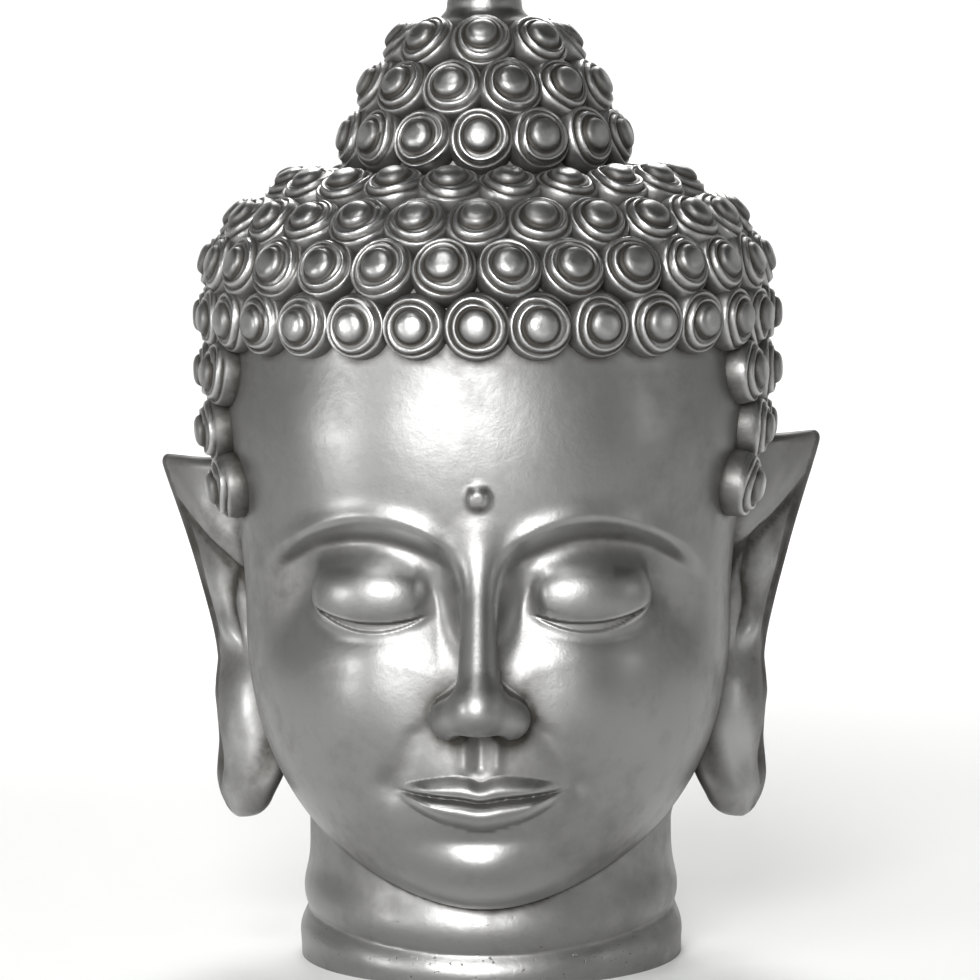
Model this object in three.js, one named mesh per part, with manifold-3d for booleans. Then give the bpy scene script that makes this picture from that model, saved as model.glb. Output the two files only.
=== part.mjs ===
// Buddha head, one hollow casting cut flat below the neck, in antiqued silver.
// Millimetres, +Z up. The face looks along -Y and the origin is the middle of the flat underside.
// The head is a rounded body worked out from formulas, with its face, neck, ears and snail curls.
import * as THREE from "three";
import { ConvexHull } from "three/addons/math/ConvexHull.js";
import Module from "manifold-3d";

const wasm = await Module();
wasm.setup();

// driving sizes
const CHEEK_Z = 215;
const CHIN_Z = 44;
const CAP_Z = 392;
const CROWN_Z = 484;
const KNOT_FOOT = 480;
const KNOT_TIP = 583;
const KNOT_R = 77;
const KNOT_BACK = 4;
const NECK_R = 118;
const NECK_TALL = 60;
const CENTRE = [0, 0, 200];
const REACH = 165;

// face
const BROW = { x: 66, z: 284, drop: 21, inner: 56, outer: 54 };
const EYE = { x: 62, y: -125, z: 237, turn: 0.26, r: [39, 25, 26] };
const MOUTH = { z: 121, half: 49 };
const DOT = { z: 297, r: 8, tall: 5 };

// curls: height of the foot on the scalp, count, half step; sides also have the first angle
const RINGS = [
  [396, 30, 0], [426, 28, 1], [449, 26, 0], [468, 21, 1], [501, 14, 0], [530, 12, 1], [556, 8, 0],
];
const SIDES = [
  [363, 69, 17], [329, 75, 16], [296, 116, 11], [262, 121, 10], [228, 117, 10], [194, 122, 8],
  [160, 120, 8],
];
const TEMPLE = [[296, 69], [296, -69]];
const CURL = { sides: 6, foot: 11, rim: 15, rimTall: 13, tip: 19, clear: 19, gap: 12, widest: 62 };
// button on top of the knot: radius and height down its side
const BUTTON = [[0, 600], [13, 597], [22, 591], [23, 583], [29, 575], [29, 560], [0, 555]];

// grids
const SKIN_ROWS = [
  [376, 304, 3], [304, 260, 6], [260, 212, 8], [212, 188, 2], [188, 152, 7], [152, 96, 9],
  [96, 44, 4],
];
const SKIN_COLUMNS = [
  [-180, -80, 4], [-80, -36, 5], [-36, -12, 7], [-12, 12, 8], [12, 36, 7], [36, 80, 5], [80, 180, 4],
];
const NECK_ROWS = 4;
const EAR = { rows: 14, columns: 14, foot: 84, lobeR: 26, tops: [320, 307] };

const clamp = (t, lo = 0, hi = 1) => Math.min(hi, Math.max(lo, t));
const smooth = (t) => {
  const c = clamp(t);
  return c * c * (3 - 2 * c);
};
const bell = (x, c, r) => Math.exp(-(((x - c) / r) ** 2));
const lump = (x, z, cx, cz, rx, rz) => bell(x, cx, rx) * bell(z, cz, rz);
const smoothMin = (a, b, k) => {
  const h = clamp(0.5 + (0.5 * (b - a)) / k);
  return b + (a - b) * h - k * h * (1 - h);
};

const ellipsoid = (x, y, z, c, r) => {
  const q = [(x - c[0]) / r[0], (y - c[1]) / r[1], (z - c[2]) / r[2]];
  const whole = Math.hypot(...q);
  const slope = Math.hypot(q[0] / r[0], q[1] / r[1], q[2] / r[2]);
  return (whole * (whole - 1)) / Math.max(slope, 1e-9);
};

const capsule = (x, y, z, a, b, ra, rb) => {
  const ab = [b[0] - a[0], b[1] - a[1], b[2] - a[2]];
  const p = [x - a[0], y - a[1], z - a[2]];
  const dot = p[0] * ab[0] + p[1] * ab[1] + p[2] * ab[2];
  const t = clamp(dot / (ab[0] ** 2 + ab[1] ** 2 + ab[2] ** 2));
  return Math.hypot(p[0] - t * ab[0], p[1] - t * ab[1], p[2] - t * ab[2]) - (ra + (rb - ra) * t);
};

// distance outside an oval section of half width w and depth d with the power n
const oval = (x, y, w, d, n) => {
  const q = (Math.abs(x / w) ** n + Math.abs(y / d) ** n) ** (1 / n);
  return Math.hypot(x, y) * (1 - 1 / Math.max(q, 1e-3));
};

const dome = (t, n) => (1 - t ** n) ** (1 / n);

// half width, front depth and back depth of the head at the height z
const headRadii = (z) => {
  const low = clamp((CHEEK_Z - z) / (CHEEK_Z - CHIN_Z));
  const high = clamp((z - CAP_Z) / (CROWN_Z - CAP_Z));
  const rise = smooth((z - CHEEK_Z) / 150);
  const nape = smooth((z - 70) / 290);
  const width = (149 + 13 * rise) * dome(low, 2.25) * dome(high, 2.7);
  const front = (156 + 5 * rise + 5 * bell(z, 300, 55)) * dome(low, 6.5) * dome(high, 2.3);
  const back = (110 + 72 * nape) * dome(low, 8) * dome(high, 2.3);
  return [Math.max(width, 1), Math.max(front, 1), Math.max(back, 1)];
};

const skull = (x, y, z) => {
  const [width, front, back] = headRadii(z);
  return oval(x, y, width, y < 0 ? front : back, 2.3 - 0.3 * smooth((z - 320) / 70));
};

const topknot = (x, y, z) => {
  const t = clamp((z - KNOT_FOOT) / (KNOT_TIP - KNOT_FOOT));
  const outside = 2 * (Math.max(z - KNOT_TIP, 0) + Math.max(440 - z, 0));
  return Math.hypot(x, y - KNOT_BACK) - KNOT_R * dome(t, 1.6) + outside;
};

const scalp = (x, y, z) => smoothMin(skull(x, y, z), topknot(x, y, z), 16);

// two soft rolls of the neck with the crease between them, deepest in front
const neck = (x, y, z) => {
  const ahead = Math.cos(Math.atan2(x, -y));
  const narrow = smooth(z / NECK_TALL);
  const crease = 30 - 12 * clamp(ahead) ** 2;
  const seen = smooth((ahead + 0.35) / 0.5);
  const roll = (2.4 * bell(z, crease + 16, 13) + 1.2 * bell(z, crease - 12, 10)) * seen;
  const depth = (y < 0 ? 112 : 116) - 4 * narrow;
  const cut = 2.2 * bell(z, crease, 4.2) * seen;
  return oval(x, y, NECK_R - 6 * narrow, depth, 2.1) - roll + cut + Math.max(z - 150, 0);
};

// brows, hollows over the eyes, cheeks, temples, the fullness round the mouth and the chin
const faceRelief = (x, z) => {
  const ax = Math.abs(x);
  const reach = ax < BROW.x ? BROW.inner : BROW.outer;
  const below = BROW.z - BROW.drop * ((ax - BROW.x) / reach) ** 2 - z;
  const ridge = 3 * bell(below, 0, 8) * smooth((ax - 10) / 22) * smooth((134 - ax) / 34);
  const across = smooth((ax - 6) / 20) * smooth((136 - ax) / 36);
  const hollow = 13 * smooth((below + 3) / 19) * smooth((84 - below) / 54) * across;
  const cheek = 8 * lump(ax, z, 74, 176, 40, 38);
  const temple = 3 * lump(ax, z, 134, 290, 22, 42);
  const mouth = 7 * lump(x, z, 0, 130, 44, 32);
  const chin = 8 * lump(x, z, 0, 72, 34, 22) - 3.6 * lump(x, z, 0, 95, 30, 8);
  return ridge - hollow + cheek - temple + mouth + chin;
};

const lips = (x, z) => {
  const ax = Math.abs(x);
  const s = clamp(ax / MOUTH.half);
  const line = MOUTH.z + 4.5 * s ** 2.2 - 1.6 * bell(x, 0, 9);
  const upper = clamp((z - line) / (3.5 + 12 * (1 - s ** 2) - 2.4 * bell(x, 0, 6)));
  const lower = clamp((line - z) / (4.5 + 14.5 * (1 - s ** 2)));
  const ends = smooth((1 - s) / 0.42);
  const full = 5.2 * Math.sin(Math.PI * upper ** 0.9) + 7.6 * Math.sin(Math.PI * lower ** 0.9);
  return full * ends - 2.6 * bell(z, line, 2.6) * smooth((MOUTH.half + 5 - ax) / 12);
};

// lowered lids: a ball in its hollow, the edge of the upper lid and the rim of the lower one
const eyes = (x, y, z, rest) => {
  const c = Math.cos(EYE.turn);
  const s = Math.sin(EYE.turn);
  const px = Math.abs(x) - EYE.x;
  const py = y - EYE.y;
  const u = c * px + s * py;
  const ball = ellipsoid(u, c * py - s * px, z, [0, 0, EYE.z], EYE.r);
  const t = clamp(u / 36, -1, 1);
  const corner = EYE.z - 7 + 2.5 * t;
  const edge = corner - 7 * (1 - t * t);
  const below = corner - 12 * (1 - t * t) - z;
  const near = smooth((40 - Math.abs(u)) / 14);
  const lid = 3 * smooth((z - edge) / 2.6 + 0.5) * near;
  const rim = 2.4 * smooth(below / 2.6 + 0.5) * bell(Math.max(below, 0), 0, 10) * near;
  return smoothMin(rest, ball - lid - rim, 3 + 6 * smooth((EYE.z + 4 - z) / 16));
};

const nose = (x, y, z, rest) => {
  const bridge = capsule(x, y, z, [0, -150, 272], [0, -185, 186], 9, 12.5);
  const tip = ellipsoid(x, y, z, [0, -186, 176], [17, 17, 14]);
  const wing = ellipsoid(Math.abs(x), y, z, [18, -171, 170.5], [13, 17, 13]);
  const whole = smoothMin(smoothMin(bridge, tip, 8), wing, 9);
  return smoothMin(rest, whole, 5 + 11 * smooth((z - 182) / 40));
};

const dot = (x, z) => {
  const r = Math.hypot(x, z - DOT.z) / DOT.r;
  return DOT.tall * Math.exp(-((r / 0.82) ** 4));
};

const body = (x, y, z) => {
  const facing = smooth((-y - 10) / 60);
  const relief = (faceRelief(x, z) + lips(x, z) + dot(x, z)) * facing;
  const face = nose(x, y, z, eyes(x, y, z, skull(x, y, z) - relief));
  return smoothMin(smoothMin(face, topknot(x, y, z), 16), neck(x, y, z), 2.5);
};

// where a level line from the axis, or a ray from the centre, leaves the form for the last time
const halve = (inside, lo, hi) => {
  let [a, b] = [lo, hi];
  for (let k = 0; k < 26; k++) {
    const mid = 0.5 * (a + b);
    if (inside(mid)) a = mid;
    else b = mid;
  }
  return 0.5 * (a + b);
};

const outermost = (form, direction) => {
  const at = (t) => CENTRE.map((c, k) => c + t * direction[k]);
  const inside = (t) => form(...at(t)) < 0;
  let t = 420;
  while (!inside(t)) t -= 5;
  return at(halve(inside, t, t + 5));
};

const spread = (spans) => {
  const values = [];
  for (const [from, to, count] of spans) {
    for (let k = 0; k < count; k++) values.push(from + ((to - from) * k) / count);
  }
  values.push(spans[spans.length - 1][1]);
  return values;
};

// a closed solid from rows of points, each row one loop; rows may shrink to a line or to a point
const shell = (rows) => {
  const index = new Map();
  const points = [];
  const number = (p) => {
    const key = p.map((v) => Math.round(v * 1000)).join(",");
    if (!index.has(key)) {
      index.set(key, points.length / 3);
      points.push(...p);
    }
    return index.get(key);
  };
  const triangles = [];
  const face = (a, b, c) => {
    if (a !== b && b !== c && a !== c) triangles.push(a, b, c);
  };
  for (let i = 0; i + 1 < rows.length; i++) {
    const count = rows[i].length;
    for (let j = 0; j < count; j++) {
      const next = (j + 1) % count;
      const [a, b] = [number(rows[i][j]), number(rows[i + 1][j])];
      const [c, d] = [number(rows[i + 1][next]), number(rows[i][next])];
      face(a, b, c);
      face(a, c, d);
    }
  }
  return new wasm.Manifold(
    new wasm.Mesh({
      numProp: 3,
      vertProperties: new Float32Array(points),
      triVerts: new Uint32Array(triangles),
    }),
  );
};

const same = (point, count) => Array.from({ length: count }, () => point);

// a long ear as a sheet swept up in level sections: out from the head, then straight back
const ear = (side, top) => {
  const section = (z) => {
    const high = clamp((z - 180) / (top - 180));
    const lift = smooth((z - 110) / 60);
    const lobe = Math.sqrt(1 - (clamp(EAR.foot + EAR.lobeR - z, 0, EAR.lobeR) / EAR.lobeR) ** 2);
    const shoulder = Math.sqrt(1 - (clamp(z - top + 26, 0, 26) / 26) ** 2);
    const cap = Math.sqrt(1 - (clamp(z - top + 7, 0, 7) / 7) ** 2);
    const inner = 134 + (headRadii(z)[0] - 148) * smooth((z - 104) / 24);
    const outer = 170 - 6 * lift + 39 * high ** 1.15;
    const ahead = -26 + 18 * smooth((z - 90) / 190);
    const behind = 16 + 44 * smooth((z - 100) / 170);
    const start = 0.54 * (1 - lobe);
    const stop = 1 - 0.46 * (1 - lobe) - 0.27 * (1 - shoulder);
    const half = (5.2 + 6.3 * (1 - smooth((z - 120) / 80))) * cap * (0.2 + 0.8 * lobe);
    const upper = smooth((z - 186) / 16);
    const loop = [];
    for (let j = 0; j < EAR.columns; j++) {
      const phi = (2 * Math.PI * j) / EAR.columns;
      const across = 0.5 - 0.5 * Math.cos(phi);
      const q = start + (stop - start) * across;
      const bend = (2 * Math.PI) / 3;
      const share = (1 - lift) * q + lift * Math.sin(bend * q);
      const rate = 1 - lift + lift * bend * Math.cos(bend * q);
      const [run, fall] = [(outer - inner) * rate, behind - ahead];
      const length = Math.hypot(run, fall);
      const v = q > 0.75 ? 2 - share : share;
      const edge = 250 + 46 * clamp(v) ** 1.9 + (top - 320);
      const band = smooth((z - edge) / 12 + 0.5);
      const puff = (3.2 * band + 3.4 * bell(z - edge, 17, 14)) * (1 - smooth((v - 0.55) / 0.45));
      const channel = 3.6 * bell(v, 0.72, 0.2) * (1 - band) * upper;
      const notch = 4.5 * lump(v, z, 0.2, 243 + (top - 320), 0.16, 12);
      const outside = phi < Math.PI;
      const relief = outside ? (puff - channel - notch) * cap * smooth((1 - across) / 0.08) : 0;
      const root = Math.sqrt(1 - (1 - clamp(across / 0.42)) ** 2);
      const thick = half * root * Math.sqrt(clamp(1 - across ** (3 + 2 * lift)));
      const off = (outside ? thick : -thick) + relief;
      const x = inner + (outer - inner) * share + (fall / length) * off;
      loop.push([side * x, ahead + (behind - ahead) * q - (run / length) * off, z]);
    }
    return loop;
  };
  const rows = [];
  for (let i = 0; i <= EAR.rows; i++) {
    const t = (0.5 - 0.5 * Math.cos((Math.PI * i) / EAR.rows)) ** 0.9;
    rows.push(section(EAR.foot + 0.2 + (top - EAR.foot - 0.4) * t));
  }
  const middle = (loop) => loop[0].map((_, k) => loop.reduce((sum, p) => sum + p[k], 0) / loop.length);
  rows.unshift(same(middle(rows[0]), EAR.columns));
  rows.push(same(middle(rows[rows.length - 1]), EAR.columns));
  return shell(side > 0 ? rows.reverse() : rows);
};

// feet of the curls: equal steps of arc round the scalp at one height
const scalpRadius = (t, z) => halve((m) => scalp(m * Math.sin(t), -m * Math.cos(t), z) < 0, 0, 260);

const along = (z, from, to, shares) => {
  const steps = 360;
  const place = (k) => {
    const t = THREE.MathUtils.degToRad(from + ((to - from) * k) / steps);
    const r = scalpRadius(t, z);
    return [r * Math.sin(t), -r * Math.cos(t), z];
  };
  const line = Array.from({ length: steps + 1 }, (_, k) => place(k));
  const run = [0];
  for (let k = 1; k <= steps; k++) {
    run.push(run[k - 1] + Math.hypot(line[k][0] - line[k - 1][0], line[k][1] - line[k - 1][1]));
  }
  return shares.map((share) => line[run.findIndex((v) => v >= share * run[steps] - 1e-6)]);
};

const curlFeet = () => {
  const feet = [];
  for (const [z, count, half] of RINGS) {
    const shares = Array.from({ length: count }, (_, k) => (k + 0.5 * half) / count);
    feet.push(...along(z, 0, 360, shares));
  }
  for (const [z, from, count] of SIDES) {
    const shares = Array.from({ length: count }, (_, k) => k / (count - 1));
    feet.push(...along(z, from, 360 - from, shares));
  }
  for (const [z, angle] of TEMPLE) feet.push(...along(z, angle, angle + 1, [0]));
  return feet;
};

// elevation seen from the centre, spaced anew so that small circles on the head stay round
const aimed = (e, t) => [Math.cos(e) * Math.sin(t), -Math.cos(e) * Math.cos(t), Math.sin(e)];

const evenRise = () => {
  const steps = 180;
  const cut = (x, y, z) => Math.max(body(x, y, z), -z);
  const side = Array.from({ length: steps + 1 }, (_, k) => {
    const [x, y, z] = outermost(cut, aimed(Math.PI * (k / steps - 0.5), 2));
    return [Math.hypot(x, y), z];
  });
  const turned = [0];
  for (let k = 1; k <= steps; k++) {
    const [[r, z], [s, w]] = [side[k - 1], side[k]];
    turned.push(turned[k - 1] + Math.hypot(s - r, w - z) / Math.max(0.5 * (r + s), 1));
  }
  const level = turned[steps / 2];
  return (e) => {
    const k = clamp((e / Math.PI + 0.5) * steps, 0, steps - 1e-6);
    const [low, part] = [Math.floor(k), k % 1];
    const q = turned[low] + (turned[low + 1] - turned[low]) * part - level;
    return 2 * Math.atan(Math.tanh(q / 2));
  };
};

const respaced = evenRise();

// which points are neighbours: the hull of their directions from the centre joins them
const joined = (points) => {
  const vectors = points.map(([x, y, z]) => {
    const e = respaced(Math.atan2(z - CENTRE[2], Math.hypot(x, y)));
    return new THREE.Vector3(...aimed(e, Math.atan2(x, -y)));
  });
  const number = new Map(vectors.map((v, k) => [v, k]));
  const corners = ({ edge }) => [edge.head(), edge.next.head(), edge.next.next.head()];
  return new ConvexHull().setFromPoints(vectors).faces.map((face) => {
    return corners(face).map((corner) => number.get(corner.point));
  });
};

const apart = (p, q) => Math.hypot(p[0] - q[0], p[1] - q[1], p[2] - q[2]);

// a curl as a low button: its tip and rim stand on the scalp along the normal of its foot
const curl = (foot) => {
  const e = 1.5;
  const slope = [0, 1, 2].map((k) => {
    const [p, q] = [[...foot], [...foot]];
    p[k] += e;
    q[k] -= e;
    return scalp(...p) - scalp(...q);
  });
  const out = new THREE.Vector3(...slope).normalize();
  const level = new THREE.Vector3(0, 0, 1).cross(out).normalize();
  const up = out.clone().cross(level);
  const stand = (r, a, tall) => {
    const p = new THREE.Vector3(...foot).addScaledVector(out, tall);
    return p.addScaledVector(level, r * Math.cos(a)).addScaledVector(up, r * Math.sin(a)).toArray();
  };
  const rim = Array.from({ length: CURL.sides }, (_, k) => {
    const a = (2 * Math.PI * (k + 0.5)) / CURL.sides;
    return { on: stand(CURL.foot, a, 0), at: stand(CURL.rim, a, CURL.rimTall) };
  });
  return [{ on: foot, at: stand(0, 0, CURL.tip) }, ...rim];
};

const toward = (p) => new THREE.Vector3(p[0], p[1], p[2] - CENTRE[2]).normalize().toArray();

// low points between two and between three neighbouring curls
const valleys = (feet) => {
  const triples = joined(feet).filter((corners) => {
    return corners.every((k, n) => apart(feet[k], feet[corners[(n + 1) % 3]]) < CURL.widest);
  });
  const pairs = new Map();
  for (const corners of triples) {
    corners.forEach((k, n) => {
      const pair = [k, corners[(n + 1) % 3]].sort((p, q) => p - q);
      pairs.set(pair.join(), pair);
    });
  }
  const low = [...triples, ...pairs.values()].map((group) => {
    const mean = [0, 1, 2].map((k) => group.reduce((sum, n) => sum + feet[n][k], 0) / group.length);
    return outermost(scalp, toward(mean));
  });
  const clear = low.filter((p) => feet.every((foot) => apart(foot, p) > CURL.gap));
  return clear.map((p) => ({ on: p, at: p }));
};

// bare skin of the face, the sides and the neck down to the flat underside
const bareSkin = (feet) => {
  const columns = spread(SKIN_COLUMNS).slice(0, -1).map(THREE.MathUtils.degToRad);
  const heights = spread(SKIN_ROWS);
  const rise = (z) => Math.atan2(z - CENTRE[2], REACH);
  const ray = (e, t) => outermost(body, aimed(e, t));
  const last = rise(heights[heights.length - 1]);
  const points = heights.flatMap((z) => columns.map((t) => ray(rise(z), t)));
  for (const t of columns) {
    const r = halve((m) => neck(m * Math.sin(t), -m * Math.cos(t), 0) < 0, 0, 200);
    const edge = Math.atan2(-CENTRE[2], r);
    for (let k = 1; k < NECK_ROWS; k++) points.push(ray(last + ((edge - last) * k) / NECK_ROWS, t));
    points.push([r * Math.sin(t), -r * Math.cos(t), 0]);
  }
  points.push([0, 0, 0]);
  const bare = points.filter((p) => feet.every((foot) => apart(foot, p) > CURL.clear));
  return bare.map((p) => ({ on: p, at: p }));
};

// head, neck and hair as one closed skin
const core = () => {
  const feet = curlFeet();
  const points = [...feet.flatMap(curl), ...valleys(feet), ...bareSkin(feet)];
  return new wasm.Manifold(
    new wasm.Mesh({
      numProp: 3,
      vertProperties: new Float32Array(points.flatMap(({ at }) => at)),
      triVerts: new Uint32Array(joined(points.map(({ on }) => on)).flat()),
    }),
  );
};

// low stepped button that closes the topknot
const button = () => {
  const ring = (r, z) =>
    Array.from({ length: 12 }, (_, k) => {
      const a = (2 * Math.PI * k) / 12;
      return [r * Math.sin(a), KNOT_BACK - r * Math.cos(a), z];
    });
  return shell(BUTTON.map(([r, z]) => ring(r, z)));
};

const solid = wasm.Manifold.union([
  core(),
  ear(1, EAR.tops[0]),
  ear(-1, EAR.tops[1]),
  button(),
]);

const mesh = solid.getMesh();
const geometry = new THREE.BufferGeometry();
geometry.setAttribute("position", new THREE.BufferAttribute(mesh.vertProperties, 3));
geometry.setIndex(new THREE.BufferAttribute(mesh.triVerts, 1));
geometry.computeVertexNormals();

const silver = new THREE.MeshStandardMaterial({ color: 0x9a9a98, metalness: 0.9, roughness: 0.4 });
const head = new THREE.Mesh(geometry, silver);
head.name = "head";
const group = new THREE.Group();
group.add(head);
export default group;
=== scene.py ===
"""Buddha head in antiqued silver: one casting with snail curls, a topknot and long ears.

Sizes are in millimetres and become metres when a mesh is made. The face looks along -Y, Z is up,
and the origin is the middle of the flat underside. Head and neck are the zero surfaces of fields
that are negative inside: rays from the head's axis find the one, and level radii the other.
"""

import bpy
import numpy as np
from mathutils import Matrix, Vector


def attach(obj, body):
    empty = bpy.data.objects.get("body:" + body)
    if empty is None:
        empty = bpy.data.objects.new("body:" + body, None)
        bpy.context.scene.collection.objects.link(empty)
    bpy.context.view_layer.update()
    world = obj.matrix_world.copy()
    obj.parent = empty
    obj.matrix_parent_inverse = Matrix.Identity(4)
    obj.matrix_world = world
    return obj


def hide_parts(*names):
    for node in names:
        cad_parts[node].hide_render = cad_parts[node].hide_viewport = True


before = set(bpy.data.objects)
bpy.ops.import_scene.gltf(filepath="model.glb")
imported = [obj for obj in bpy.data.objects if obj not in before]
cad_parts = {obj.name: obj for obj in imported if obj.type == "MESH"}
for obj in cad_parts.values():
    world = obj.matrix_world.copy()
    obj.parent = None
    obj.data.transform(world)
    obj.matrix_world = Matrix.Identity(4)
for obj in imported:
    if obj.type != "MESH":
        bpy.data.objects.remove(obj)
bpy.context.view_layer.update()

MM = 0.001

# driving sizes of the head: radii at the cheeks and how much they grow above, then the heights
# between which the ovals close; a tilted ray comes down to its own height at REACH from the axis
HALF_WIDTH, FRONT_DEPTH, BACK_DEPTH = 149.0, 156.0, 110.0
WIDTH_GROWS, FRONT_GROWS, BACK_GROWS = 13.0, 5.0, 72.0
CHEEK_Z, CHIN_Z = 215.0, 44.0
CAP_Z, CROWN_Z = 392.0, 484.0
REACH = 165.0

# topknot: KNOT_SPRING is the height below which its cone is cut off inside the head
KNOT_FOOT, KNOT_TIP, KNOT_R, KNOT_BACK = 480.0, 583.0, 77.0, 4.0
KNOT_SPRING, KNOT_BLEND = 440.0, 16.0
BUTTON_TOP, BUTTON_FOOT = 600.0, 556.0

# neck: its mesh ends at NECK_TOP inside the jaw, its field a little above; each roll has a
# height, its middle above the crease and a half size
NECK_R, NECK_FRONT, NECK_BACK, NECK_WAIST, NECK_TALL = 118.0, 112.0, 116.0, 6.0, 60.0
NECK_TOP, NECK_FIELD_TOP = 108.0, 150.0
CREASE_Z, CREASE_DIP, CREASE_DEEP, CREASE_WIDE = 30.0, 12.0, 2.5, 5.0
ROLLS = [(3.0, 16, 13), (1.8, -12, 9)]

# brows, eyes, mouth, the furrow under the nose, the folds, and the boss between the brows
BROW_X, BROW_Z, BROW_DROP, BROW_INNER, BROW_OUTER, BROW_TALL = 66.0, 284.0, 21.0, 56.0, 54.0, 3.0
SOCKET_DEEP = 13.0
EYE_X, EYE_Y, EYE_Z, EYE_TURN, EYE_R = 62.0, -125.5, 237.0, 0.26, (38.0, 24.5, 25.0)
LID_HALF, LID_SAG, LID_TALL, LID_RIM = 36.0, 12.5, 3.4, 2.6
MOUTH_Z, MOUTH_HALF, MOUTH_LIFT = 121.0, 49.0, 4.5
UPPER_LIP, LOWER_LIP, LIP_GROOVE, CORNER_DIMPLE = 5.6, 7.0, 1.0, 2.6
FURROW_DEEP, FURROW_EDGE, FOLD_DEEP = 2.6, 1.3, 1.8
DOT_Z, DOT_R, DOT_TALL = 297.0, 8.0, 5.0

# low forms of the face: height over the skull, middle x and z, half width, half height
FACE_FORMS = {"cheek": (8, 74, 176, 40, 38), "temple": (-3, 134, 290, 22, 42),
              "round the mouth": (7, 0, 130, 44, 32), "chin": (8, 0, 72, 34, 22),
              "under the lip": (-3.6, 0, 95, 30, 8)}

# nose: root and end of the bar with their radii, then middle and half axes of the round parts
NOSE_ROOT, NOSE_END, NOSE_ROOT_R, NOSE_END_R = (0, -150, 272), (0, -185, 186), 9.0, 12.5
NOSE_TIP, NOSE_TIP_R = (0, -186, 176), (17, 17, 14)
NOSE_WING, NOSE_WING_R = (17.5, -170, 170), (12, 17, 12)
NOSTRIL, NOSTRIL_R = (10.5, -179, 157.5), (5.5, 9, 5.5)

# curls: height of the foot on the scalp, count, half step; the sides also have the first angle
RINGS = [(396, 30, 0), (426, 28, 1), (449, 26, 0), (468, 21, 1), (501, 14, 0), (530, 12, 1),
         (556, 8, 0)]
SIDES = [(363, 69, 17), (329, 75, 16), (296, 116, 11), (262, 121, 10), (228, 117, 10),
         (194, 122, 8), (160, 120, 8)]
TEMPLE = [(296, 69), (296, -69)]
CURL_R, CURL_BODY, CURL_DOME, CURL_DOME_R, CURL_PITCH = 18.6, 16.4, 2.5, 9.6, 4.4
CURL_SUNK, CURL_EDGE, CURL_RIDGE, CURL_GROOVE, CURL_LEAN = 7.0, 9.0, 1.35, 1.3, 0.6

# skirt of a curl from its sunk foot up: radius, height, painted shade
CURL_SKIRT = np.array([[20.4, -7.0, 0.9], [20.1, 0.0, 0.75], [19.8, 3.6, 0.55],
                       [19.2, 6.8, 0.35]])

# ears: the left one stands higher; x of the lobe's two edges, how far the upper tip stands out
# beyond them, how tall its rounding is, half thickness of lobe and upper ear
EAR_FOOT, LOBE_R, EAR_TOPS = 84.0, 26.0, (320.0, 307.0)
LOBE_IN, LOBE_OUT, TIP_OUT = 134.0, 170.0, 39.0
SHOULDER_TALL, EDGE_ROUND, EAR_BEND = 34.0, 7.0, 2 * np.pi / 3
LOBE_HALF, EAR_HALF = 11.5, 5.2

# low forms of the ear: height, share of the way out, z, half width as a share, half height
EAR_SWELL, EAR_LOW_SWELL = (2.6, 0.74, 238, 0.15, 15), (2.6, 0.70, 199, 0.12, 8)
EAR_NOTCH, EAR_KNOB = (-4.5, 0.2, 243, 0.13, 8), (2.2, 0.5, 196, 0.17, 9)


# small functions

def smooth(t):
    """0 below 0, 1 above 1, and 3t^2 - 2t^3 between."""
    t = np.clip(t, 0, 1)
    return t * t * (3 - 2 * t)


def smooth_min(a, b, k):
    """The smaller of a and b, rounded over k where they are close."""
    h = np.clip(0.5 + 0.5 * (b - a) / k, 0, 1)
    return b + (a - b) * h - k * h * (1 - h)


def bell(x, c, r):
    """exp of minus ((x - c) / r) squared."""
    return np.exp(-((x - c) / r) ** 2)


def lump(x, z, cx, cz, rx, rz):
    """A bell in x times a bell in z."""
    return bell(x, cx, rx) * bell(z, cz, rz)


def low_form(x, z, tall, cx, cz, rx, rz):
    """A lump times its height."""
    return tall * lump(x, z, cx, cz, rx, rz)


def dome(t, n):
    """The nth root of 1 - t^n, a quarter of an oval."""
    return (1 - t ** n) ** (1 / n)


def ellipsoid(x, y, z, r):
    """Signed distance to an ellipsoid of half axes r round the origin, good near its skin."""
    whole = np.sqrt((x / r[0]) ** 2 + (y / r[1]) ** 2 + (z / r[2]) ** 2)
    slope = np.sqrt((x / r[0] ** 2) ** 2 + (y / r[1] ** 2) ** 2 + (z / r[2] ** 2) ** 2)
    return whole * (whole - 1) / np.maximum(slope, 1e-9)


def capsule(x, y, z, a, b, ra, rb):
    """Distance to the line from a to b, less a radius that goes from ra to rb along it."""
    ab = np.subtract(b, a)
    px, py, pz = x - a[0], y - a[1], z - a[2]
    t = np.clip((px * ab[0] + py * ab[1] + pz * ab[2]) / ab.dot(ab), 0, 1)
    gap = np.sqrt((px - t * ab[0]) ** 2 + (py - t * ab[1]) ** 2 + (pz - t * ab[2]) ** 2)
    return gap - (ra + (rb - ra) * t)


def oval(x, y, width, depth, n):
    """Distance outside a level oval section whose edge is |x/w|^n + |y/d|^n = 1."""
    q = (np.abs(x / width) ** n + np.abs(y / depth) ** n) ** (1 / n)
    return np.hypot(x, y) * (1 - 1 / np.maximum(q, 1e-3))


# the head as a field

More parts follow.
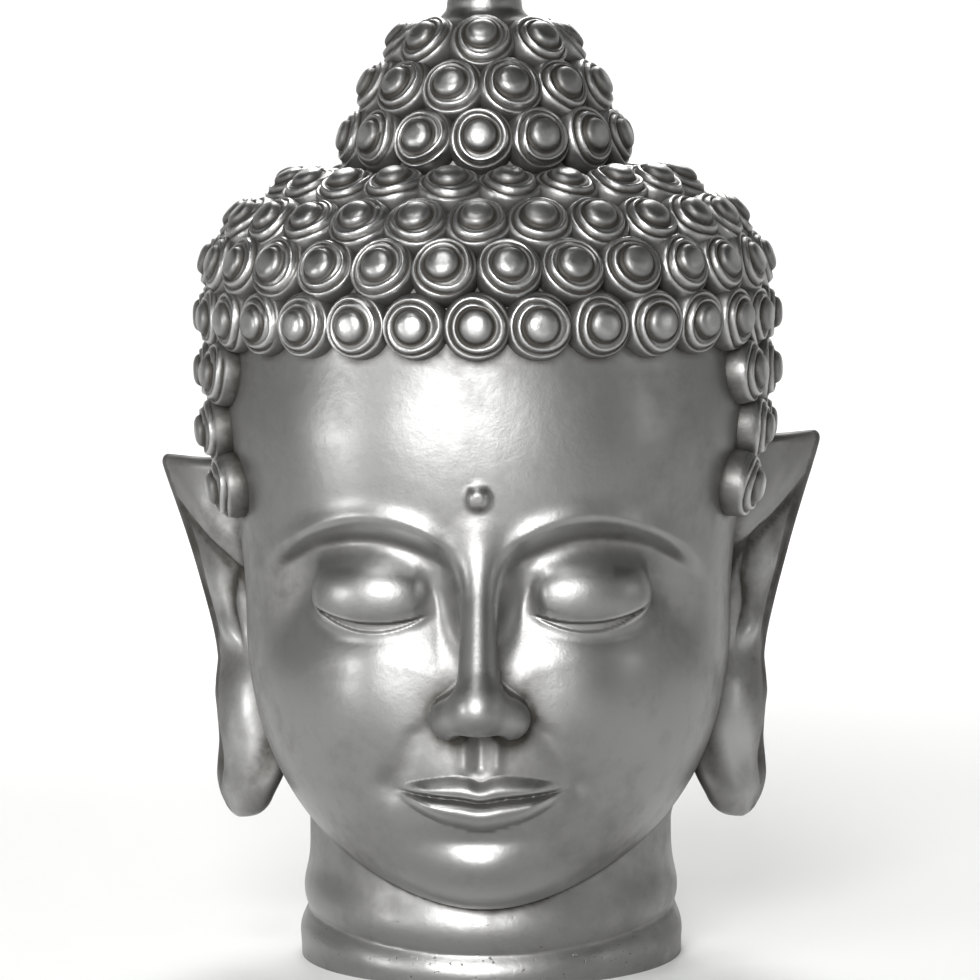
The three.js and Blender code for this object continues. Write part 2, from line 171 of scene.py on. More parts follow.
def head_radii(z):
    """Half width, front depth and back depth at height z: ovals that close at chin and crown."""
    low = np.clip((CHEEK_Z - z) / (CHEEK_Z - CHIN_Z), 0, 1)
    high = np.clip((z - CAP_Z) / (CROWN_Z - CAP_Z), 0, 1)
    rise = smooth((z - CHEEK_Z) / 150)
    nape = smooth((z - 70) / 290)
    width = (HALF_WIDTH + WIDTH_GROWS * rise) * dome(low, 2.25) * dome(high, 2.7)
    front = FRONT_DEPTH + FRONT_GROWS * rise + 5 * bell(z, 300, 55)
    front = front * dome(low, 6.5) * dome(high, 2.3)
    back = (BACK_DEPTH + BACK_GROWS * nape) * dome(low, 8) * dome(high, 2.3)
    return np.maximum(width, 1), np.maximum(front, 1), np.maximum(back, 1)


def skull(x, y, z):
    """Level ovals of the head's radii, a little squarer over the face than over the crown."""
    width, front, back = head_radii(z)
    return oval(x, y, width, np.where(y < 0, front, back), 2.3 - 0.3 * smooth((z - 320) / 70))


def topknot(x, y, z):
    """A round cone whose radius is a quarter oval of its height."""
    t = np.clip((z - KNOT_FOOT) / (KNOT_TIP - KNOT_FOOT), 0, 1)
    outside = 2 * (np.maximum(z - KNOT_TIP, 0) + np.maximum(KNOT_SPRING - z, 0))
    return np.hypot(x, y - KNOT_BACK) - KNOT_R * dome(t, 1.6) + outside


def scalp(x, y, z):
    """Skull and topknot together, without a face: what the curls stand on."""
    return smooth_min(skull(x, y, z), topknot(x, y, z), KNOT_BLEND)


def neck(x, y, z):
    """A short oval column; a roll on each side of a crease that dips in front and ends behind."""
    ahead = np.cos(np.arctan2(x, -y))
    narrow = smooth(z / NECK_TALL)
    crease = CREASE_Z - CREASE_DIP * np.clip(ahead, 0, 1) ** 2
    seen = smooth((ahead + 0.35) / 0.5)
    roll = sum(tall * bell(z, crease + up, half) for tall, up, half in ROLLS) * seen
    depth = np.where(y < 0, NECK_FRONT, NECK_BACK) - 4 * narrow
    cut = CREASE_DEEP * np.exp(-np.abs((z - crease) / CREASE_WIDE) ** 1.5) * seen
    column = oval(x, y, NECK_R - NECK_WAIST * narrow, depth, 2.1)
    return column - roll + cut + np.maximum(z - NECK_FIELD_TOP, 0)


def face_relief(x, z):
    """Height over the skull: brow ridges, eye hollows, the low forms, the furrow under the nose
    with its two edges, and the folds beside the mouth."""
    ax = np.abs(x)
    reach = np.where(ax < BROW_X, BROW_INNER, BROW_OUTER)
    below = BROW_Z - BROW_DROP * ((ax - BROW_X) / reach) ** 2 - z
    h = BROW_TALL * bell(below, 0, 8) * smooth((ax - 10) / 22) * smooth((134 - ax) / 34)
    across = smooth((ax - 6) / 20) * smooth((136 - ax) / 36)
    h = h - SOCKET_DEEP * smooth((below + 3) / 19) * smooth((84 - below) / 54) * across
    for form in FACE_FORMS.values():
        h = h + low_form(ax, z, *form)
    up = smooth((z - 133) / 8) * smooth((164 - z) / 9)
    h = h - FURROW_DEEP * bell(x, 0, 5.4) * up + FURROW_EDGE * bell(ax, 9.5, 3.8) * up
    fold = 32 + 22 * np.clip((165 - z) / 40, 0, 1) ** 0.8
    return h - FOLD_DEEP * bell(ax, fold, 8) * smooth((z - 122) / 16) * smooth((170 - z) / 12)


def lips(x, z):
    """Half waves of height over and under a line that lifts to the corners, cut in along the
    line, with a dimple at each corner. Each lip narrows as 1 - s squared towards its corner."""
    ax = np.abs(x)
    s = np.clip(ax / MOUTH_HALF, 0, 1)
    line = MOUTH_Z + MOUTH_LIFT * s ** 2.2 - 1.6 * bell(x, 0, 9)
    above = np.clip((z - line) / (3.5 + 12 * (1 - s ** 2) - 2.4 * bell(x, 0, 6)), 0, 1)
    under = np.clip((line - z) / (4.5 + 14.5 * (1 - s ** 2)), 0, 1)
    full = (UPPER_LIP * np.maximum(np.sin(np.pi * above ** 0.68), 0) ** 1.25
            + LOWER_LIP * np.maximum(np.sin(np.pi * under ** 0.80), 0) ** 1.25)
    h = full * smooth((1 - s) / 0.42)
    h = h - LIP_GROOVE * bell(z, line, 1.8) * smooth((MOUTH_HALF + 5 - ax) / 12)
    return h - CORNER_DIMPLE * lump(ax, z, MOUTH_HALF + 4, MOUTH_Z + 5, 8, 8)


def eyes(x, y, z, rest):
    """A ball in each hollow; the upper lid ends along a low arc over the rim of the lower one."""
    c, s = np.cos(EYE_TURN), np.sin(EYE_TURN)
    px, py = np.abs(x) - EYE_X, y - EYE_Y
    u = c * px + s * py
    ball = ellipsoid(u, c * py - s * px, z - EYE_Z, EYE_R)
    share = np.clip(u / LID_HALF, -1, 1)
    arch = 1 - share ** 2
    corner = EYE_Z - 7 + 2.5 * share
    below = corner - LID_SAG * arch - z
    near = smooth((LID_HALF + 6 - np.abs(u)) / 14)
    lid = LID_TALL * smooth((z - corner + 7 * arch) / 2.2 + 0.5) * near
    rim = LID_RIM * smooth(below / 2.6 + 0.5) * bell(np.maximum(below, 0), 0, 9) * near
    soft = 3 + 6 * smooth((EYE_Z + 4 - z) / 16) + 7 * smooth((z - EYE_Z - 4) / 14)
    return smooth_min(rest, ball - lid - rim, soft)


def nose(x, y, z, rest):
    """A tapered bar, a round tip and two wings run together, with the nostrils cut from below."""
    ax = np.abs(x)

    def ball(middle, radii):
        return ellipsoid(ax - middle[0], y - middle[1], z - middle[2], radii)

    bridge = capsule(x, y, z, NOSE_ROOT, NOSE_END, NOSE_ROOT_R, NOSE_END_R)
    whole = smooth_min(bridge, ball(NOSE_TIP, NOSE_TIP_R), 12)
    whole = smooth_min(whole, ball(NOSE_WING, NOSE_WING_R), 12)
    out = smooth_min(rest, whole, 5 + 11 * smooth((z - 182) / 40))
    return -smooth_min(-out, ball(NOSTRIL, NOSTRIL_R), 3)


def brow_dot(x, z):
    """A small round boss between the brows: exp of minus the fourth power of the radius."""
    return DOT_TALL * np.exp(-(np.hypot(x, z - DOT_Z) / (0.82 * DOT_R)) ** 4)


def bare_head(x, y, z):
    """The head with its face, without neck, hair and ears; negative inside."""
    facing = smooth((-y - 10) / 60)
    relief = (face_relief(x, z) + lips(x, z) + brow_dot(x, z)) * facing
    face = nose(x, y, z, eyes(x, y, z, skull(x, y, z) - relief))
    return smooth_min(face, topknot(x, y, z), KNOT_BLEND)


def body(x, y, z):
    """Head and neck together, with a crisp line under the jaw and a soft one at the nape."""
    return smooth_min(bare_head(x, y, z), neck(x, y, z), 2.5 + 15 * smooth((y + 40) / 80))


def halve(inside, low, high, rounds=24):
    """The edge between inside at low and outside at high, by halving."""
    for _ in range(rounds):
        middle = 0.5 * (low + high)
        within = inside(middle)
        low, high = np.where(within, middle, low), np.where(within, high, middle)
    return 0.5 * (low + high)


def level_points(turns, r, z):
    """Points at angles turns from the front, round the axis at radius r and height z."""
    return np.stack([r * np.sin(turns), -r * np.cos(turns), z], -1)


def level_radius(form, turns, z, far):
    """Distance from the axis, less than far, to the form's edge at angles turns and height z."""
    def inside(r):
        return form(r * np.sin(turns), -r * np.cos(turns), z + 0 * turns) < 0
    return halve(inside, np.zeros(turns.shape), np.full(turns.shape, far))


def outermost(form, foot, ray, far=420.0, step=7.0):
    """Where rays from the axis at the heights foot leave the form for the last time: steps in
    from far find the span, and halving the place in it."""
    def at(t):
        return t * ray[0], t * ray[1], foot + t * ray[2]

    near = np.zeros(ray[0].shape)
    for t in np.arange(far, 0, -step):
        near = np.where((near == 0) & (form(*at(np.full(near.shape, t))) < 0), t, near)
        if (near > 0).all():
            break
    reach = halve(lambda t: form(*at(t)) < 0, near, near + step, rounds=12)
    return np.stack(at(reach), -1)


def gradient(form, points, e=0.4):
    """Slope of the form at points, by differences over 2e along each axis."""
    x, y, z = np.moveaxis(points, -1, 0)
    pairs = [(form(x + e, y, z), form(x - e, y, z)), (form(x, y + e, z), form(x, y - e, z)),
             (form(x, y, z + e), form(x, y, z - e))]
    return np.stack([(a - b) / (2 * e) for a, b in pairs], -1)


def unit(v):
    """v scaled to length 1."""
    return v / np.linalg.norm(v, axis=-1, keepdims=True)


def spread(spans):
    """Values at even steps over each (from, to, count), and the last end."""
    parts = [np.linspace(a, b, n, endpoint=False) for a, b, n in spans]
    return np.concatenate(parts + [[spans[-1][1]]])


# meshes

def tube_faces(rows, columns):
    """Quads of a grid that closes on itself along its columns."""
    i, j = np.meshgrid(np.arange(rows - 1), np.arange(columns), indexing="ij")
    k = (j + 1) % columns
    quads = [i * columns + j, (i + 1) * columns + j, (i + 1) * columns + k, i * columns + k]
    return np.stack(quads, -1).reshape(-1, 4)


def closed_faces(rows, columns):
    """The grid's quads and a fan at each end; the two end points follow the grid's points."""
    first = np.arange(columns)
    after = (first + 1) % columns
    last = (rows - 1) * columns
    top = np.full(columns, rows * columns)
    fans = [np.stack([top, first, after], -1), np.stack([top + 1, last + after, last + first], -1)]
    return tube_faces(rows, columns), np.concatenate(fans)


def with_ends(tones, ends=(0, 0)):
    """Tones of a grid's points kept within 0 and 1, followed by those of its two end points."""
    return np.append(np.clip(tones, 0, 1).ravel(), ends)


def make_piece(name, points, quads, fans, patina_and_shade, worn, finish):
    """A smooth mesh from points in millimetres, with its tones as two float attributes."""
    mesh = bpy.data.meshes.new(name)
    mesh.from_pydata((points * MM).tolist(), [], quads.tolist() + fans.tolist())
    for key, tones in (("patina_and_shade", patina_and_shade), ("worn", worn)):
        mesh.attributes.new(key, "FLOAT", "POINT").data.foreach_set("value", tones.ravel())
    mesh.shade_smooth()
    mesh.materials.append(finish)
    made = bpy.data.objects.new(name, mesh)
    bpy.context.scene.collection.objects.link(made)
    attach(made, "root")
    return made


def shade_by(mesh, normals, base):
    """Shades the mesh by the given normals, and its last base triangles as a flat underside."""
    corners = np.empty(len(mesh.loops), np.int32)
    mesh.loops.foreach_get("vertex_index", corners)
    given = normals[corners]
    given[-3 * base:] = (0, 0, -1)
    mesh.normals_split_custom_set(given.tolist())


# curls

def along(z, start, stop, shares):
    """Angles at the given shares of the scalp's arc between start and stop degrees."""
    turns = np.radians(np.linspace(start, stop, 721))
    r = level_radius(scalp, turns, z, far=260.0)
    steps = np.hypot(np.diff(r * np.sin(turns)), np.diff(r * np.cos(turns)))
    run = np.concatenate([[0], np.cumsum(steps)])
    return np.interp(shares * run[-1], run, turns)


def curl_feet():
    """Feet of all curls on the scalp and the outward directions there, knot and crown first."""
    rows = [(along(z, 0, 360, (np.arange(n) + 0.5 * half) / n), z) for z, n, half in RINGS]
    rows += [(along(z, a, 360 - a, np.arange(n) / (n - 1)), z) for z, a, n in SIDES]
    rows += [(np.radians([a]), z) for z, a in TEMPLE]
    turns = np.concatenate([t for t, _ in rows])
    heights = np.concatenate([np.full(len(t), float(z)) for t, z in rows])
    r = level_radius(scalp, turns, heights, far=260.0)
    feet = level_points(turns, r, heights)
    return feet, unit(gradient(scalp, feet, 1.5))


def curls(feet, out, seed, rings=27, columns=28):
    """Snail buttons: a sunk skirt, then a low cone of one ridge winding out from a dome.

    The cone's height falls as the 2.6th power of the radius. The ridge is a cosine of the radius
    less one pitch for each turn, so it moves one pitch out in each turn. The dome is a quarter
    of an oval with a narrow groove round its foot. Slow waves round each curl and a slight lean
    make it a little uneven, as a hand would.
    """
    rng = np.random.default_rng(seed)
    count = len(feet)

    def draw(low, high):
        return rng.uniform(low, high, (count, 1, 1))

    start, size, tall = draw(0.2, 1.6), draw(0.97, 1.03), draw(0.95, 1.05)
    side = unit(np.cross([0.0, 0.0, 1.0], out))
    up = np.cross(out, side)
    radii, heights, shades = CURL_SKIRT.T
    skirt = len(CURL_SKIRT)
    inner = CURL_R * (1 - np.linspace(0, 1, rings - skirt, endpoint=False))
    r = np.concatenate([radii, inner])[None, :, None]
    a = (np.arange(columns) / columns * 2 * np.pi)[None, None, :]
    uneven = 0.13 * np.sin(2 * a + draw(0, 6)) + 0.09 * np.sin(3 * a + draw(0, 6))
    lane = (r - CURL_DOME_R) / CURL_PITCH - ((a - start) % (2 * np.pi)) / (2 * np.pi) + uneven
    wave = np.cos(2 * np.pi * (lane - 0.5))
    seen = smooth(lane / 0.2) * smooth((radii[-1] - r) / 1.4)
    cone = CURL_EDGE + (CURL_BODY - CURL_EDGE) * (1 - (r / CURL_R) ** 2.6)
    cap = CURL_DOME * np.sqrt(np.clip(1 - (r / (CURL_DOME_R + 0.3)) ** 3.5, 0, 1))
    ridge = 2 * (0.5 + 0.5 * wave) ** 0.75 - 1
    groove = CURL_GROOVE * bell(r, CURL_DOME_R + 1.1, 1.2)
    lean = CURL_LEAN * (r / CURL_R) * np.sin(a + draw(0, 6))
    h = cone + CURL_RIDGE * (ridge - 0.2) * seen + cap - groove + lean
    h[:, :skirt] = heights[None, :, None]
    h = h * tall
    reach = r * size + 0 * a
    flat = np.cos(a)[..., None] * side[:, None, None] + np.sin(a)[..., None] * up[:, None, None]
    points = feet[:, None, None] + reach[..., None] * flat + h[..., None] * out[:, None, None]
    patina_and_shade = np.clip(1.2 * (0.1 - wave) * seen, 0, 1) + 1.3 * bell(r, CURL_DOME_R + 1.0, 1.3)
    # painted shade on the skirt, darkest at the foot
    patina_and_shade[:, :skirt] = shades[None, :, None]
    worn = np.clip(1.3 * wave * seen, 0, 1) + 0.7 * smooth((7.5 - r) / 4)
    top = feet + (CURL_BODY + CURL_DOME) * tall[:, 0] * out
    ends = np.stack([feet - CURL_SUNK * out, top], 1)
    whole = np.concatenate([points.reshape(count, -1, 3), ends], 1).reshape(-1, 3)
    tones = [np.concatenate([np.clip(v + 0 * h, 0, 1).reshape(count, -1),
                             np.full((count, 2), end)], 1)
             for v, end in ((patina_and_shade, 0.0), (worn, 1.0))]
    shift = (np.arange(count) * (rings * columns + 2))[:, None, None]
    quads, fans = [(f[None, :, ::-1] + shift).reshape(-1, f.shape[1])
                   for f in closed_faces(rings, columns)]
    return whole, quads, fans, *tones


# head and neck

HEAD_ROWS = [(380, 302, 20), (302, 256, 38), (256, 206, 54), (206, 186, 14), (186, 150, 34),
             (150, 136, 12), (136, 106, 44), (106, 100, 3)]
HEAD_COLUMNS = [(-180, -80, 24), (-80, -50, 34), (-50, 50, 212), (50, 80, 34), (80, 180, 24)]


def head_grid():
    """Points of the head along rays from its axis, in rows from the crown to under the chin.

    The rays lie level over the face, tilt down a little at the nose so that they also meet its
    underside, and fan out from one point above the brows and from another behind the chin.
    """
    turns = np.radians(spread(HEAD_COLUMNS))[:-1]
    heights = spread(HEAD_ROWS)
    tilt = 50 * bell(heights, 166, 26)
    over = np.radians(spread([(90, 0, 26)]))[1:-1]
    under = np.radians(spread([(0, -42, 32), (-42, -90, 8)]))[1:-1]
    rise = np.concatenate([over, -np.arctan2(tilt, REACH), under])[:, None]
    foot = np.concatenate([np.full(len(over), heights[0]), heights + tilt,
                           np.full(len(under), heights[-1])])[:, None]
    around = np.broadcast_to(turns, (len(rise), len(turns)))
    ray = np.stack([np.cos(rise) * np.sin(around), -np.cos(rise) * np.cos(around),
                    np.sin(rise) + 0 * around])
    return even_out(outermost(bare_head, foot, ray), np.moveaxis(ray, 0, -1))


def neck_grid(rows=80, columns=224):
    """Points of the neck at even heights from inside the jaw down to the flat underside."""
    z, turns = np.meshgrid(np.linspace(NECK_TOP, 0, rows),
                           np.arange(columns) / columns * 2 * np.pi, indexing="ij")
    return level_points(turns, level_radius(neck, turns, z, far=200.0), z)


def even_out(points, ray, rounds=8):
    """Where the nose stands steep to the rays, points slide on the surface to their mean.

    Each round moves a point to the mean of its four neighbours, less the part along the normal,
    and then back onto the skin by the field over its slope.
    """
    behind = points[:, 0, 2]
    rows = slice(np.argmin(np.abs(behind - 235)), np.argmin(np.abs(behind - 120)))
    part, aim = points[rows].copy(), ray[rows]
    for _ in range(rounds):
        x, y, z = np.moveaxis(part, -1, 0)
        slope = gradient(bare_head, part)
        normal = unit(slope)
        steep = smooth((0.85 - np.abs((normal * aim).sum(-1))) / 0.4)
        steep = steep * smooth((48 - np.abs(x)) / 12) * smooth((-y - 100) / 20)
        steep = steep * smooth((z - 138) / 8) * smooth((222 - z) / 10)
        mean = (np.roll(part, 1, 0) + np.roll(part, -1, 0) + np.roll(part, 1, 1)
                + np.roll(part, -1, 1)) / 4 - part
        mean = mean - (mean * normal).sum(-1, keepdims=True) * normal
        moved = part + 0.8 * steep[..., None] * mean
        off = bare_head(*np.moveaxis(moved, -1, 0)) / np.linalg.norm(slope, axis=-1)
        part = moved - (np.clip(off, -2, 2) * (steep > 0))[..., None] * normal
    points[rows] = part
    return points


def onto_body(grid, rounds=3):
    """Moves the points that lie just inside the joined body, as by the nape, out onto its skin."""
    for _ in range(rounds):
        slope = gradient(body, grid)
        size = np.linalg.norm(slope, axis=-1, keepdims=True)
        off = body(*np.moveaxis(grid, -1, 0))[..., None] / size
        share = smooth((off + 9) / 4) * smooth((grid[..., 1:2] + 40) / 30) * (grid[..., 2:] > 1)
        grid = grid - share * off * slope / size
    return grid


def nearness(points, marks, reach, fade):
    """1 within reach less fade of any of the marks, 0 beyond reach."""
    near = np.full(points.shape[:-1], 1e9)
    for mark in marks:
        near = np.minimum(near, ((points - mark) ** 2).sum(-1))
    return smooth((reach - np.sqrt(near)) / fade)


def shades_of(form, points, marks):
    """How far each point is dark with patina and painted shade, and how far worn, from 0 to 1.

    Both come from the field a little way off the skin: outside, it is less than the way gone
    over a hollow and more over an edge; inside, it is less under an edge. The mouth's line is
    rubbed clean. Painted shade darkens the jaw's sides and the skin within reach of the marks,
    which are rows of points, reach, fade and depth.
    """
    normal = unit(gradient(form, points))

    def field(distance):
        return body(*np.moveaxis(points + distance * normal, -1, 0)) / distance

    patina_and_shade = np.clip(1 - field(4.0), 0, 1) * 0.9 + np.clip(1 - field(14.0), 0, 1) * 0.8
    worn = np.clip(1 - field(-4.0), 0, 1) * 1.2 + np.clip(field(5.0) - 1, 0, 1)
    x, y, z = np.moveaxis(points, -1, 0)
    rubbed = bell(z, MOUTH_Z, 10) * smooth((MOUTH_HALF + 12 - np.abs(x)) / 16) * (y < -80)
    patina_and_shade = patina_and_shade * (1 - 0.8 * rubbed)
    # painted shade: the jaw's lower sides darker
    jaw = 0.55 * smooth((112 - z) / 40) * smooth((np.abs(x) - 36) / 44)
    shade = jaw * (form is bare_head)
    # painted shade within reach of the marks
    for group, reach, fade, depth in marks:
        shade = np.maximum(shade, depth * nearness(points, group, reach, fade))
    return np.clip(patina_and_shade + shade, 0, 1), np.clip(worn * (1 - shade), 0, 1)


# ears

def ear_frame(z, top):
    """Inner and outer x, front and back y of the ear's middle sheet at height z, and how far the
    section there has changed from the lobe's to the upper ear's."""
    high = np.clip((z - 180) / (top - 180), 0, 1)
    lift = smooth((z - 110) / 60)
    root = head_radii(z)[0] - 14
    joined = smooth((z - 98) / 46)
    inner = LOBE_IN + (root - LOBE_IN) * joined
    outer = LOBE_OUT - 6 * lift + TIP_OUT * high ** 1.15
    ahead = -26 + 18 * smooth((z - 90) / 190)
    behind = 16 + 44 * smooth((z - 100) / 170)
    return inner, outer, ahead, behind, lift


def ear_line(side, top):
    """Points down the line where the ear meets the head."""
    z = np.linspace(112, top, 60)
    _, _, ahead, behind, _ = ear_frame(z, top)
    return np.stack([side * (head_radii(z)[0] - 1), ahead + 0.1 * (behind - ahead), z], -1)


def ear(side, top, rows=156, columns=104):
    """A closed sheet in level sections, each a loop from the head out to the back edge and back.

    In plan the middle sheet follows x as the sine of up to 120 degrees and y evenly, so it
    stands out from the head and then turns straight back; down at the lobe x is even too. The
    sections start later and stop sooner near the foot, as a circle does, and stop sooner near
    the top, which rounds the back corner. The outer face carries the relief as bells and
    steps in the share v of the way out, and in z: a puffed band over a slanting edge, a wavy
    groove with a strip before it and two swells behind it, a notch, a knob and the rim's line.
    The upper forms move down with the top of a lower ear.
    """
    k = np.linspace(0, 1, rows)
    z = (EAR_FOOT + 0.2 + (top - EAR_FOOT - 0.4) * (0.5 - 0.5 * np.cos(np.pi * k)) ** 0.9)[:, None]
    phi = np.linspace(0, 2 * np.pi, columns, endpoint=False)[None, :]
    across, outside = 0.5 - 0.5 * np.cos(phi), phi < np.pi

    def rounded(beyond, size):
        """A quarter circle: 1 where beyond is 0 or less, 0 where it is the size."""
        return np.sqrt(1 - (np.clip(beyond, 0, size) / size) ** 2)

    lobe = rounded(EAR_FOOT + LOBE_R - z, LOBE_R)
    shoulder = rounded(z - top + SHOULDER_TALL, SHOULDER_TALL)
    cap = rounded(z - top + EDGE_ROUND, EDGE_ROUND)
    inner, outer, ahead, behind, lift = ear_frame(z, top)
    start = 0.54 * (1 - lobe) + 0.16 * (1 - shoulder)
    stop = 1 - 0.46 * (1 - lobe) - 0.34 * (1 - shoulder)
    q = start + (stop - start) * across
    share = (1 - lift) * q + lift * np.sin(EAR_BEND * q)
    rate = (1 - lift) + lift * EAR_BEND * np.cos(EAR_BEND * q)
    run, fall = (outer - inner) * rate, (behind - ahead) + 0 * q
    length = np.hypot(run, fall)

    v = np.where(q > 0.75, 2 - share, share)
    raised = top - EAR_TOPS[0]
    upper = smooth((z - 186) / 16)
    edge = 250 + 46 * np.clip(v, 0, 1) ** 1.9 + raised
    band = smooth((z - edge) / 7 + 0.5)
    open_part = (1 - band) * upper
    strip = 0.44 + 0.045 * np.sin((z - 203) / 7.5)
    relief = 3.2 * band + 3.4 * bell(z - edge, 17, 14)
    relief = relief * (1 - smooth((v - 0.55) / 0.45))
    relief = relief - 2.4 * bell(z, edge - 6, 5) * smooth((v - 0.12) / 0.2) * smooth((1 - v) / 0.2)
    relief = relief - 2.0 * bell(v - strip, 0.05, 0.055) * open_part
    relief = relief + 1.2 * (1 - smooth((v - strip) / 0.06 + 0.5)) * open_part
    relief = relief + low_form(v, z - raised, *EAR_SWELL) * open_part
    relief = relief + low_form(v, z, *EAR_LOW_SWELL) + low_form(v, z - raised, *EAR_NOTCH)
    relief = relief + 1.5 * bell(v, 1.01, 0.035) - 1.5 * bell(v, 0.93, 0.035) * open_part
    relief = relief - 1.4 * bell(v, 1.06, 0.02) * upper + 1.2 * bell(v, 1.12, 0.03) * upper
    relief = relief + low_form(v, z, *EAR_KNOB)
    relief = relief + 1.5 * bell(v, 0.5, 0.24) * smooth((186 - z) / 22)
    relief = np.where(outside, relief, 0) * cap * smooth((1 - across) / 0.08)

    near_end = np.sqrt(1 - (1 - np.clip(across / 0.42, 0, 1)) ** 2)
    far_end = np.sqrt(np.clip(1 - across ** (3 + 2 * lift), 0, 1))
    half = EAR_HALF + (LOBE_HALF - EAR_HALF) * (1 - smooth((z - 120) / 80))
    thick = half * cap * near_end * far_end * (0.2 + 0.8 * lobe)
    off = np.where(outside, thick, -thick) + relief
    x = inner + (outer - inner) * share + fall / length * off
    y = ahead + (behind - ahead) * q - run / length * off
    points = np.stack([side * x, y, z + 0 * x], -1)[::-1]
    ends = np.stack([points[0].mean(0), points[-1].mean(0)])
    rim = smooth((v - 0.84) / 0.14) * smooth((z - 100) / 20) + (1 - smooth((z - EAR_FOOT) / 16))
    # an even painted shade over the ear, more on the band, and patina in the relief's hollows
    patina_and_shade = (0.44 + 0.12 * band + np.clip(-0.40 * relief, 0, 1)
              # painted shade along the back rim and at the lobe's foot
              + 0.6 * np.clip(rim, 0, 1) * (q > 0.6)
              # painted shade near the root
              + smooth((0.36 - v) / 0.26) * 0.8 * smooth((z - 96) / 44)
              # painted shadow under the band's edge
              + 0.7 * bell(z, edge - 5, 5) * smooth((v - 0.12) / 0.2) * (v < 1.1))
    worn = (np.clip(0.42 * relief * (1 - 0.75 * band), 0, 1) * smooth((1 - v) / 0.1)
            + 0.9 * lump(v, z, 0.5, 132, 0.22, 26))
    quads, fans = closed_faces(rows, columns)
    if side < 0:
        quads, fans = quads[:, ::-1], fans[:, ::-1]
    whole = np.concatenate([points.reshape(-1, 3), ends])
    return whole, quads, fans, with_ends(patina_and_shade[::-1]), with_ends(worn[::-1])


# button on the topknot

# its outline from the tip down: radius and height
BUTTON = [(0, BUTTON_TOP), (6, 598.9), (11, 595.6), (14.2, 591.6), (15.4, 589.4), (17, 589.9),
          (19.2, 591.2), (21.6, 589.6), (22.8, 586), (23.6, 581), (27.5, 576.5), (33, 572),
          (34, 566), (29, BUTTON_FOOT)]


def flowing(corners, count):
    """Points of a smooth curve through corners, each span a cubic on its neighbours."""
    c = np.array(corners, float)
    c = np.concatenate([[2 * c[0] - c[1]], c, [2 * c[-1] - c[-2]]])
    t = np.linspace(0, len(corners) - 1 - 1e-9, count)
    i, f = t.astype(int), (t % 1)[:, None]
    a, b, d, e = c[i], c[i + 1], c[i + 2], c[i + 3]
    return 0.5 * (2 * b + (d - a) * f + (2 * a - 5 * b + 4 * d - e) * f ** 2
                  + (3 * b - a - 3 * d + e) * f ** 3)


def button(rows=52, columns=64):
    """The button's profile turned about the knot's axis."""
    line = flowing(BUTTON, rows)[1:]
    a = np.arange(columns) / columns * 2 * np.pi
    r, z = line[:, :1], line[:, 1:]
    points = level_points(a, r, z + 0 * a) + (0, KNOT_BACK, 0)
    ends = [[0, KNOT_BACK, BUTTON_TOP], [0, KNOT_BACK, BUTTON_FOOT]]
    patina_and_shade = bell(r, 15.4, 1.6) * (z > 580) + smooth((578 - z) / 10) + 0 * a
    worn = bell(r, 19.4, 1.6) + smooth((10 - r) / 6) + 0 * a
    quads, fans = closed_faces(len(line), columns)
    whole = np.concatenate([points.reshape(-1, 3), ends])
    return whole, quads, fans, with_ends(patina_and_shade), with_ends(worn)


# finishes

class Shade:
    """One socket of a material; + - and * on it add Math nodes."""

    def __init__(self, tree, socket=None):
        self.tree, self.socket = tree, socket

    def node(self, kind, settings=None, values=None, out=0):
        """A node of a kind, its settings made first, then the values or links of its sockets."""
        made = self.tree.nodes.new(kind)
        for key, value in (settings or {}).items():
            setattr(made, key, value)
        for key, value in (values or {}).items():
            if isinstance(value, Shade):
                self.tree.links.new(value.socket, made.inputs[key])
            else:
                made.inputs[key].default_value = value
        return Shade(self.tree, made.outputs[out])

    def math(self, operation, *values, clamped=False):
        """A Math node on the values, its result kept within 0 and 1 where clamped."""
        settings = {"operation": operation, "use_clamp": clamped}
        return self.node("ShaderNodeMath", settings, dict(enumerate(values)))

    def __add__(self, other):
        return self.math("ADD", self, other)

    def __sub__(self, other):
        return self.math("SUBTRACT", self, other)

    def __rsub__(self, other):
        return self.math("SUBTRACT", other, self)

    def __mul__(self, other):
        return self.math("MULTIPLY", self, other)

    __radd__, __rmul__ = __add__, __mul__

    def clamped(self):
        """This value kept within 0 and 1."""
        return self.math("ADD", self, 0.0, clamped=True)

    def step(self, low, high):
        """0 at low, 1 at high, smooth between."""
        values = {"Value": self, "From Min": low, "From Max": high}
        return self.node("ShaderNodeMapRange", {"interpolation_type": "SMOOTHSTEP"}, values)

    def mix(self, first, second):
        """The colour from first to second as this goes from 0 to 1."""
        return self.node("ShaderNodeMix", {"data_type": "RGBA"}, {0: self, 6: first, 7: second}, 2)

    def noise(self, where, scale, detail=3.0, rough=0.5):
        """Noise from 0 to 1 with about scale lumps to the metre."""
        values = {"Vector": where, "Scale": scale, "Detail": detail, "Roughness": rough}
        return self.node("ShaderNodeTexNoise", None, values, "Fac")


def new_material(name):
    """An empty material, its first Shade and its surface socket."""
    made = bpy.data.materials.new(name)
    made.use_nodes = True
    made.node_tree.nodes.clear()
    start = Shade(made.node_tree)
    end = made.node_tree.nodes.new("ShaderNodeOutputMaterial")
    return made, start, end.inputs["Surface"]


# dark tone of the patina and of the painted shade, rubbed silver, and soil in the pits
PATINA_AND_SHADE, RUBBED, SOIL = (0.040, 0.036, 0.031, 1), (0.86, 0.86, 0.85, 1), (0.08, 0.065, 0.05, 1)


